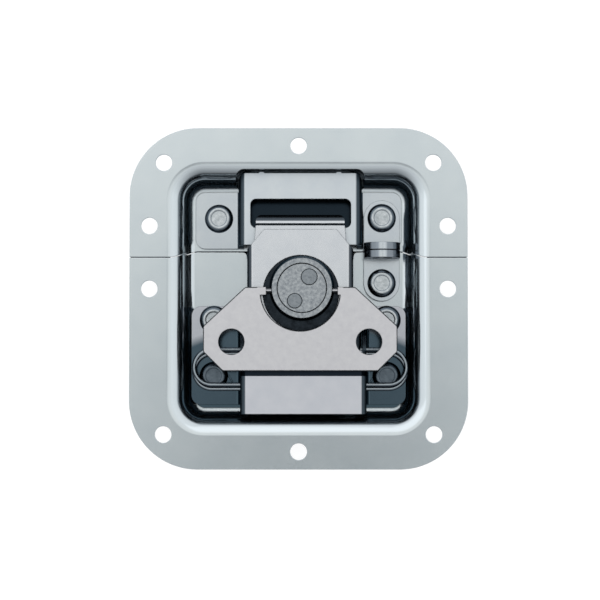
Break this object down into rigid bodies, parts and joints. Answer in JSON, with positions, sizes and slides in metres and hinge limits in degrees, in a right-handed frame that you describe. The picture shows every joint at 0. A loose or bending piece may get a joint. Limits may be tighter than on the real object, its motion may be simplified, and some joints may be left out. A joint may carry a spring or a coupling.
{
  "type": "recessed butterfly latch",
  "caption": "Recessed twist latch in a split pressed dish, with a flip-up butterfly handle, eccentric-driven hook, strike and padlock eyes.",
  "frame": {"origin": "centre of the four corner fixing holes, on the flange's rear plane", "axes": "+Z out of the recess, normal to the flange; +Y from the handle towards the strike; +X to the padlock eyes' side"},
  "size_m": [0.104, 0.105, 0.0179],
  "materials": {
    "dish_zinc": "satin bright zinc plate",
    "plate_zinc": "bright zinc plate",
    "hook_zinc": "satin zinc plate",
    "rivet_steel": "set rivet, bright",
    "spring_wire": "bright plated spring wire",
    "dark_steel": "dark turned steel",
    "boss_zinc": "brushed zinc plate"
  },
  "bodies": {
    "base": {"lower_dish": "dish_zinc", "upper_dish": "dish_zinc", "keeper": "plate_zinc", "keeper_rivet_left": "rivet_steel", "keeper_rivet_right": "rivet_steel", "upper_padlock_eye": "plate_zinc", "lower_padlock_eye": "plate_zinc", "padlock_eye_rivet": "rivet_steel", "pivot_plate": "plate_zinc", "latch_bracket": "plate_zinc", "bracket_rivet_upper_left": "rivet_steel", "bracket_rivet_upper_right": "rivet_steel", "bracket_rivet_lower_left": "rivet_steel", "bracket_rivet_lower_right": "rivet_steel", "wire_spring": "spring_wire"},
    "boss": {"eccentric_disc": "dark_steel", "retaining_disc": "dark_steel", "drive_stud_large": "rivet_steel", "drive_stud_small": "rivet_steel", "boss_collar": "boss_zinc", "boss_core": "boss_zinc"},
    "hook": {"hook_plate": "hook_zinc", "hook_cover": "hook_zinc"},
    "handle": {"butterfly_handle": "hook_zinc"}
  },
  "joints": [
    {"name": "boss_turn", "type": "hinge", "parent": "base", "child": "boss", "pos_m": [0.001, 0.0031, -0.004], "axis": [0, 0, 1], "range_deg": [0, 180]},
    {"name": "hook_draw", "type": "hinge", "parent": "boss", "child": "hook", "pos_m": [0.0007, 0.00165, -0.002], "axis": [0, 0, 1], "range_deg": [-180, 0]},
    {"name": "handle_flip", "type": "hinge", "parent": "boss", "child": "handle", "pos_m": [0.001, 0.0024, 0.0014], "axis": [-1, 0, 0], "range_deg": [0, 90]}
  ],
  "couplings": [
    {"joint": "hook_draw", "follows": "boss_turn", "ratio": -1}
  ]
}
